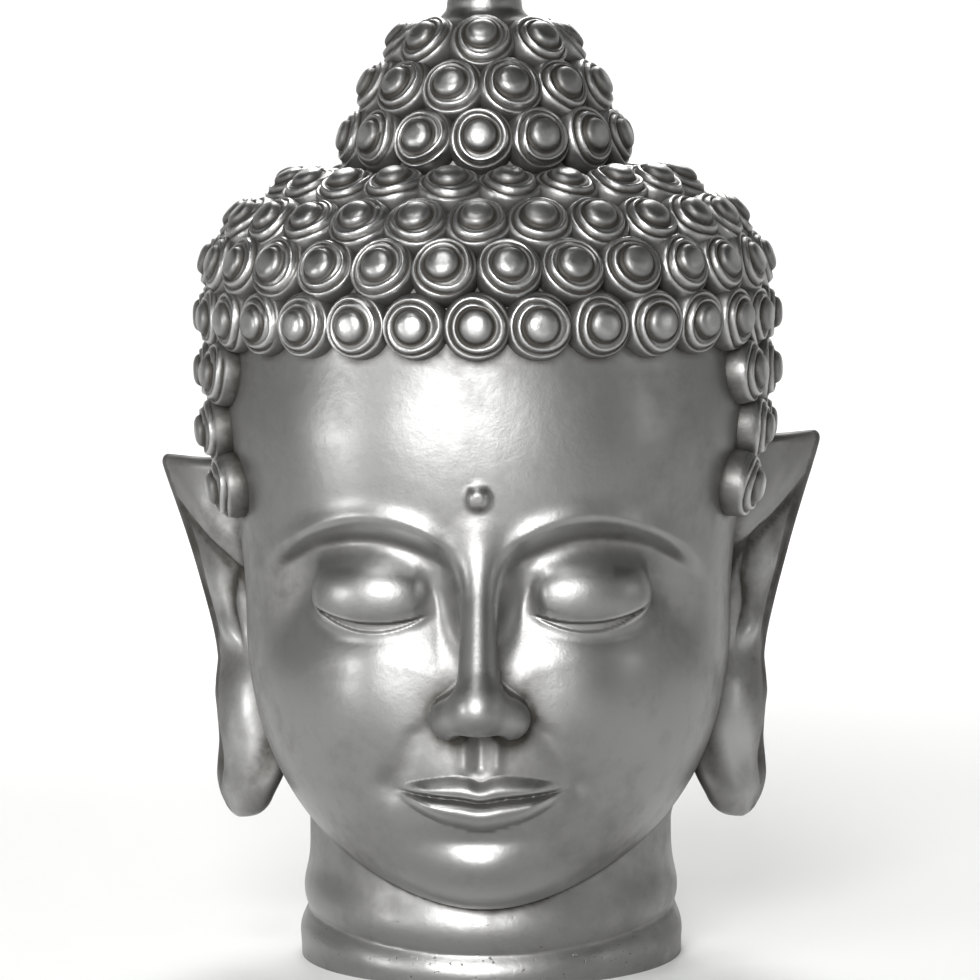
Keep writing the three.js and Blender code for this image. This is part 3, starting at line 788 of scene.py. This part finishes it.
def antiqued_silver(name, bare, dark_share, rough, pits, uneven):
    """Silver rubbed back over a dark patina; the same dark tone also paints shade.

    Dark is the patina and painted shade, broken up by smears, plus a film in clouds, less what is
    worn. It turns the bare metal's colour dark, dull and less metallic; worn places go bright.
    Near the foot there are pits, as many as pits says. The bump is a fine grain, the uneven cast
    skin, smears and the pits.
    """
    made, start, surface = new_material(name)
    place = start.node("ShaderNodeTexCoord", None, None, "Object")
    patina_and_shade = start.node("ShaderNodeAttribute", {"attribute_name": "patina_and_shade"}, None, "Fac")
    worn = start.node("ShaderNodeAttribute", {"attribute_name": "worn"}, None, "Fac")
    clouds = start.noise(place, 11.0, detail=4.0, rough=0.55)
    smear = start.noise(place, 55.0, detail=5.0, rough=0.6)
    grain = start.noise(place, 650.0, detail=2.0)
    cast = start.noise(place, 150.0)
    film = (clouds * 0.6 + smear * 0.4).step(0.42, 0.68)
    # dark: patina in the hollows together with painted shade
    dark = (patina_and_shade * (0.75 + 0.5 * smear) * dark_share + film * 0.38 - worn * 0.25).clamped()
    foot = 1 - start.node("ShaderNodeSeparateXYZ", None, {0: place}, 2).step(0.004, 0.05)
    speck = start.noise(place, 330.0, detail=2.0).step(0.66, 0.74) * foot * pits
    tone = dark.mix(bare, PATINA_AND_SHADE)
    tone = (worn * 0.35 * (1 - dark)).mix(tone, RUBBED)
    tone = speck.mix(tone, SOIL)
    height = grain * 0.16 + cast * uneven + smear * 0.30 - speck * 1.2
    bump = start.node("ShaderNodeBump", None,
                      {"Strength": 0.30, "Distance": 0.0011, "Height": height})
    values = {"Base Color": tone, "Metallic": 1 - dark * 0.45 - speck * 0.5,
              "Roughness": rough + dark * 0.16 + film * 0.07 + (grain - 0.5) * 0.08 - worn * 0.05,
              "Normal": bump}
    gloss = start.node("ShaderNodeBsdfPrincipled", None, values)
    made.node_tree.links.new(gloss.socket, surface)
    return made


def pale_ground():
    """Matt off-white paint with a trace of unevenness."""
    made, start, surface = new_material("pale_ground")
    place = start.node("ShaderNodeTexCoord", None, None, "Object")
    tone = start.noise(place, 3.0).mix((0.79, 0.79, 0.785, 1), (0.82, 0.82, 0.815, 1))
    paint = start.node("ShaderNodeBsdfPrincipled", None, {"Base Color": tone, "Roughness": 0.8})
    made.node_tree.links.new(paint.socket, surface)
    return made


# the object

skin_silver = antiqued_silver("silver_skin", (0.26, 0.26, 0.256, 1), dark_share=0.85,
                              rough=0.38, pits=1.0, uneven=0.45)
hair_silver = antiqued_silver("silver_hair", (0.27, 0.27, 0.266, 1), dark_share=0.98,
                              rough=0.36, pits=0.0, uneven=1.1)

feet, outward = curl_feet()
ear_lines = np.concatenate([ear_line(1, EAR_TOPS[0]), ear_line(-1, EAR_TOPS[1])])
# painted shade by the curls and ear roots, wider on the head's sides: points, reach, fade, depth
marks = [(feet, 25, 7, 0.85), (ear_lines, 16, 13, 0.8), (ear_lines, 64, 60, 0.72)]
for name, form, grid, ends in (
        ("head_and_face", bare_head, head_grid(), [[0, KNOT_BACK, KNOT_TIP], [0, 0, CHIN_Z]]),
        ("neck", neck, neck_grid(), [[0, 0, NECK_TOP], [0, 0, 0]])):
    grid = onto_body(grid)
    patina_and_shade, worn = shades_of(form, grid, marks)
    quads, fans = closed_faces(*grid.shape[:2])
    points = np.concatenate([grid.reshape(-1, 3), ends])
    made = make_piece(name, points, quads, fans, with_ends(patina_and_shade, (1, 1)), with_ends(worn),
                      skin_silver)
    shade_by(made.data, unit(gradient(body, points, 0.25)), grid.shape[1])
    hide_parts("head")

crown, knot = (sum(n for z, n, _ in RINGS if z < top) for top in (500, 600))
for name, part, seed in (("curls_crown", slice(0, crown), 5),
                         ("curls_knot", slice(crown, knot), 6),
                         ("curls_sides", slice(knot, None), 8)):
    make_piece(name, *curls(feet[part], outward[part], seed), hair_silver)

for name, side, top in (("ear_left", 1, EAR_TOPS[0]), ("ear_right", -1, EAR_TOPS[1])):
    make_piece(name, *ear(side, top), skin_silver)

make_piece("knot_button", *button(), hair_silver)


# ground, light and camera

def ground(radius=4.7, bend=1.5, tall=3.2, rings=24, columns=96):
    """A flat round floor whose edge turns up through a quarter circle into a low wall."""
    flat = np.linspace(0.1, 1, 6) * (radius - bend)
    a = np.linspace(0, np.pi / 2, rings)[1:]
    r = np.concatenate([flat, radius - bend + bend * np.sin(a), [radius]])[:, None]
    z = np.concatenate([0 * flat, bend * (1 - np.cos(a)), [tall]])[:, None]
    turn = np.arange(columns) / columns * 2 * np.pi
    points = np.stack([r * np.sin(turn), r * np.cos(turn), z + 0 * turn], -1)
    mesh = bpy.data.meshes.new("ground")
    middle = [list(range(columns))]
    quads = tube_faces(len(r), columns)
    mesh.from_pydata(points.reshape(-1, 3).tolist(), [], middle + quads.tolist())
    mesh.shade_smooth()
    mesh.materials.append(pale_ground())
    made = bpy.data.objects.new("ground", mesh)
    bpy.context.scene.collection.objects.link(made)


def softbox(name, place, aim, size, power):
    """A square area light that faces the point it is aimed at, itself unseen."""
    lamp = bpy.data.lights.new(name, "AREA")
    lamp.size, lamp.energy = size, power
    made = bpy.data.objects.new(name, lamp)
    made.location = place
    made.rotation_euler = (Vector(aim) - Vector(place)).to_track_quat("-Z", "Y").to_euler()
    made.visible_camera = False
    bpy.context.scene.collection.objects.link(made)


ground()
softbox("front", (-0.45, -2.6, 1.15), (0, 0, 0.3), 1.25, 80)
softbox("top", (-0.35, -1.0, 2.1), (0, 0, 0.3), 0.6, 7)
softbox("left", (-2.0, -1.4, 0.45), (0, 0, 0.2), 0.6, 12)
softbox("right", (2.1, -0.8, 0.6), (0, 0, 0.25), 0.4, 1.5)
softbox("floor", (0.0, 2.0, 2.2), (0, 0.4, 0.0), 1.2, 58)
softbox("wall", (0.0, 2.6, 2.4), (0, 4.7, 0.6), 1.2, 60)

world = bpy.data.worlds.new("room")
world.use_nodes = True
world.node_tree.nodes["Background"].inputs["Color"].default_value = (1, 1, 1, 1)
world.node_tree.nodes["Background"].inputs["Strength"].default_value = 0.05
bpy.context.scene.world = world
bpy.context.scene.view_settings.view_transform = "Standard"

# eye level above the brow, 2.4 m off, a touch to the head's left, with a long lens
TURN, TILT, DISTANCE, EYE_LEVEL = np.radians(2.0), np.radians(-0.45), 2.425, 0.516
AIM_X, AIM_Z = 0.0012, 0.2866
camera = bpy.data.objects.new("camera", bpy.data.cameras.new("camera"))
camera.data.lens, camera.data.sensor_width = 145.0, 36.0
eye = Vector((DISTANCE * np.sin(TURN), -DISTANCE * np.cos(TURN), EYE_LEVEL))
aim = Vector((AIM_X, 0, AIM_Z)) - eye
facing = aim.to_track_quat("-Z", "Y").to_matrix().to_4x4() @ Matrix.Rotation(TILT, 4, "Z")
camera.matrix_world = Matrix.Translation(eye) @ facing
bpy.context.scene.collection.objects.link(camera)
bpy.context.scene.camera = camera
